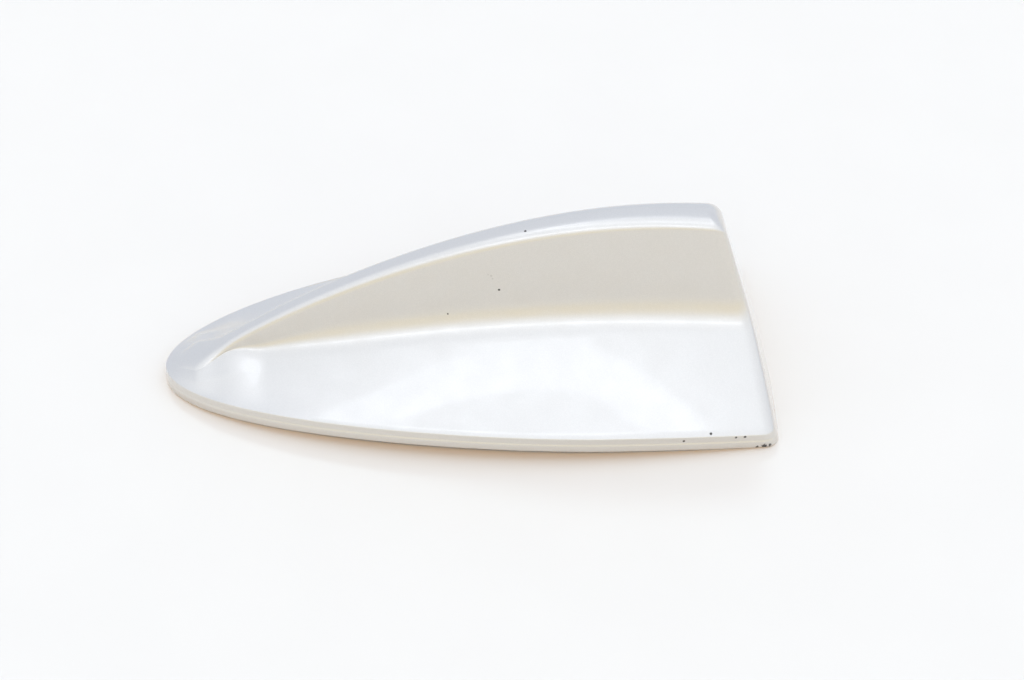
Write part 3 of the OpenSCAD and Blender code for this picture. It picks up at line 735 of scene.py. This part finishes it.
def dress_nodes():
    """Gives each CAD node its material, soft edges and even shading."""
    for name, node in NODES.items():
        node.data.materials.clear()
        node.data.materials.append(MATERIALS[SLOT_OF[name]])
        if "custom_normal" in node.data.attributes:
            node.data.attributes.remove(node.data.attributes["custom_normal"])
        node.data.polygons.foreach_set("use_smooth", [True] * len(node.data.polygons))
        weld = node.modifiers.new("weld", "WELD")
        weld.merge_threshold = 1e-6
        bevel = node.modifiers.new("bevel", "BEVEL")
        bevel.width = BEVEL_OF.get(name, FINE_BEVEL) * MM
        bevel.segments = 2
        bevel.limit_method = "ANGLE"
        bevel.angle_limit = math.radians(40)
        bevel.use_clamp_overlap = True
        even = node.modifiers.new("even", "WEIGHTED_NORMAL")
        even.keep_sharp = True


def make_cover():
    """Dense housing with its ribs and bosses, in place of the CAD node."""
    verts, faces, skin = wall_mesh()
    ceiling = ceiling_finder(verts, faces, skin)
    cover = new_object("painted_cover", verts, faces)
    fixed_normals(cover)
    inside = [ring_rib(ceiling)]
    inside += [boss(x, y, seat, ceiling) for x, y, seat in boss_places()]
    inside += [cross_rib(x, z, ceiling) for x, z in CROSS_RIBS]
    for points, quads in inside:
        tool = new_object("tool", points, quads)
        fixed_normals(tool)
        combine(cover, tool, "UNION")
    for x, y, seat in boss_places():
        outline = circle(x, y, PILOT_R, 32)
        n = len(outline)
        tool = new_object("tool", *column(outline, [seat - 1] * n, [seat + PILOT_DEPTH] * n))
        fixed_normals(tool)
        combine(cover, tool, "DIFFERENCE")
    finish_mesh(cover.data, 32)
    cover.data.materials.clear()
    cover.data.materials.append(MATERIALS["cover_paint"])
    cover.name = "painted_cover"
    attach(cover, "root")
    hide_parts("fin_cover")
    return cover


THREAD_R = 2.5
THREAD_DEPTH = 0.5
THREAD_PITCH = 1.0
MOUTH = 0.35


def make_insert():
    """Threaded insert with an M6 thread and a countersunk mouth, in place of the plain CAD node."""
    low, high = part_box("mount_insert")
    middle = (low + high) / 2 / MM
    radius = (high.x - low.x) / 2 / MM
    z0, z1 = low.z / MM, high.z / MM
    turns, levels = 64, 120
    verts = []
    faces = []
    for i in range(levels + 1):
        z = z0 + (z1 - z0) * i / levels
        end = min(z - z0, z1 - z)
        for j in range(turns):
            a = 2 * math.pi * j / turns
            wave = abs(2 * (((z - z0) / THREAD_PITCH - j / turns) % 1) - 1)
            r = THREAD_R + THREAD_DEPTH * min(1.0, 1.25 * wave)
            r = max(r, THREAD_R + THREAD_DEPTH + MOUTH - end) if end < MOUTH + THREAD_DEPTH else r
            verts.append((middle.x + r * math.cos(a), middle.y + r * math.sin(a), z))
    ridge = 0.12
    rows = [(z0, 0.2), (z0 + 0.2, 0), (z1 - 0.2, 0), (z1, 0.2)]
    for z, inset in rows:
        for j in range(turns):
            a = 2 * math.pi * j / turns
            r = radius - inset - (ridge if j % 2 else 0)
            verts.append((middle.x + r * math.cos(a), middle.y + r * math.sin(a), z))
    start = (levels + 1) * turns
    for i in range(levels):
        faces += band(i * turns, (i + 1) * turns, turns, True)
    for i in range(len(rows) - 1):
        faces += band(start + i * turns, start + (i + 1) * turns, turns, True)
    faces += band(0, start, turns, True)
    faces += band(levels * turns, start + (len(rows) - 1) * turns, turns, True)
    insert = new_object("threaded_insert", verts, faces, MATERIALS["insert_brass"])
    fixed_normals(insert)
    finish_mesh(insert.data, 35)
    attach(insert, "root")
    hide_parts("mount_insert")


FLOOR_SIZE = 6.0


def make_floor():
    """Plain pale table."""
    s = Shader("table")
    s.colour(s.mix(s.span(s.noise(30), 0.3, 0.7), FLOOR_COLOUR, tuple(0.99 * c for c in FLOOR_COLOUR)))
    s.rough(0.75)
    a = FLOOR_SIZE / 2 / MM
    floor = new_object("table", [(-a, -a, 0), (a, -a, 0), (a, a, 0), (-a, a, 0)], [(0, 1, 2, 3)], s.material)


FLOOR_COLOUR = (0.52, 0.622, 0.662)
FRONT_LIGHT = (1.09, 1.16, 1.28)
REAR_LIGHT = (0.84, 0.91, 1.05)
BACKDROP = (0.955, 0.955, 0.955)
REAR_CUT = 25
WARM_LIGHT = (1.04, 0.96, 0.76)
WARM_FROM = 56
WARM_TO = 72
RING_AIM = (0.173, 0.1385, 0.975)
RING_FROM = 19.5
RING_TO = 23.5
RING_GAIN = 1.2
STRIP_GAIN = 1.6
STRIP_FROM = 44
STRIP_TO = 47


def make_world():
    """Soft light, brighter overhead and in front, with a ring lamp and a strip lamp in it."""
    world = bpy.data.worlds.new("studio")
    bpy.context.scene.world = world
    world.use_nodes = True
    s = Shader.__new__(Shader)
    s.tree = world.node_tree
    back = s.tree.nodes["Background"]
    s.where = s.node("ShaderNodeTexCoord").outputs["Generated"]

    def towards(direction):
        made = s.node("ShaderNodeVectorMath", operation="DOT_PRODUCT")
        s.wire(s.where, made.inputs[0])
        made.inputs[1].default_value = direction
        return made.outputs["Value"]

    cut = math.radians(REAR_CUT)
    front = s.span(towards((0, -math.cos(cut), math.sin(cut))), -0.14, 0.14)
    light = s.mix(front, REAR_LIGHT, FRONT_LIGHT)
    # towards the front, the angle from the zenith
    height = s.maths("ARCTAN2", s.maths("MULTIPLY", towards((0, 1, 0)), -1.0), towards((0, 0, 1)))
    warm = s.span(height, math.radians(WARM_FROM), math.radians(WARM_TO))
    light = s.mix(s.maths("MULTIPLY", warm, front), light, WARM_LIGHT)
    aim = towards(RING_AIM)
    edges = [math.cos(math.radians(a)) for a in (RING_TO + 1, RING_TO, RING_FROM, RING_FROM - 1)]
    ring = s.maths("MULTIPLY", s.span(aim, edges[0], edges[1]), s.span(aim, edges[3], edges[2]))
    # strip across the front, between two heights above the horizon
    low, high = math.radians(STRIP_FROM), math.radians(STRIP_TO)
    soft = math.radians(2)
    strip = s.maths("MULTIPLY", s.span(height, low - soft, low), s.span(height, high + soft, high))
    aside = s.maths("ABSOLUTE", towards((1, 0, 0)))
    strip = s.maths("MULTIPLY", strip, s.span(aside, 0.5, 0.42))
    gain = s.maths("ADD", s.maths("MULTIPLY", ring, RING_GAIN), s.maths("MULTIPLY", strip, STRIP_GAIN))
    bright = s.node("ShaderNodeVectorMath", operation="SCALE")
    s.wire(light, bright.inputs[0])
    s.wire(s.maths("ADD", gain, 1.0), bright.inputs["Scale"])
    seen = s.node("ShaderNodeLightPath").outputs["Is Camera Ray"]
    s.wire(s.mix(seen, bright.outputs[0], BACKDROP), back.inputs["Color"])


# Lamps: (name, direction it comes from, strength, colour, angle across in degrees)
LAMPS = (
    ("back_lamp", (-0.08, 0.72, 0.7), 0.6, (0.95, 0.98, 1.0), 8),
    ("front_lamp", (-0.1, -0.68, 0.74), 2.6, (1.0, 0.4, 0.06), 14),
)


def make_lamps():
    """A cool lamp behind, which throws the faint shadow in front, and a warm one in front."""
    for name, source, strength, colour, angle in LAMPS:
        data = bpy.data.lights.new(name, "SUN")
        data.energy = strength
        data.color = colour
        data.angle = math.radians(angle)
        lamp = bpy.data.objects.new(name, data)
        lamp.rotation_euler = (-Vector(source)).to_track_quat("-Z", "Y").to_euler()
        lamp.visible_glossy = False
        bpy.context.scene.collection.objects.link(lamp)


# Camera fitted to the photograph: where it stands, its axes and its lens
CAMERA_AT = (-0.0444423, -0.4945994, 0.4626695)
CAMERA_RIGHT = (0.995624, -0.090462, 0.02346)
CAMERA_UP = (0.043821, 0.673624, 0.737774)
CAMERA_BACK = (-0.082544, -0.733517, 0.674641)
LENS = 92.15


def make_camera():
    data = bpy.data.cameras.new("camera")
    data.sensor_width = 36
    data.lens = LENS
    data.clip_start = 0.01
    camera = bpy.data.objects.new("camera", data)
    axes = Matrix((CAMERA_RIGHT, CAMERA_UP, CAMERA_BACK)).transposed()
    camera.matrix_world = Matrix.Translation(CAMERA_AT) @ axes.to_4x4()
    bpy.context.scene.collection.objects.link(camera)
    bpy.context.scene.camera = camera


dress_nodes()
make_cover()
make_insert()
make_floor()
make_world()
make_lamps()
make_camera()
bpy.context.scene.view_settings.view_transform = "Standard"
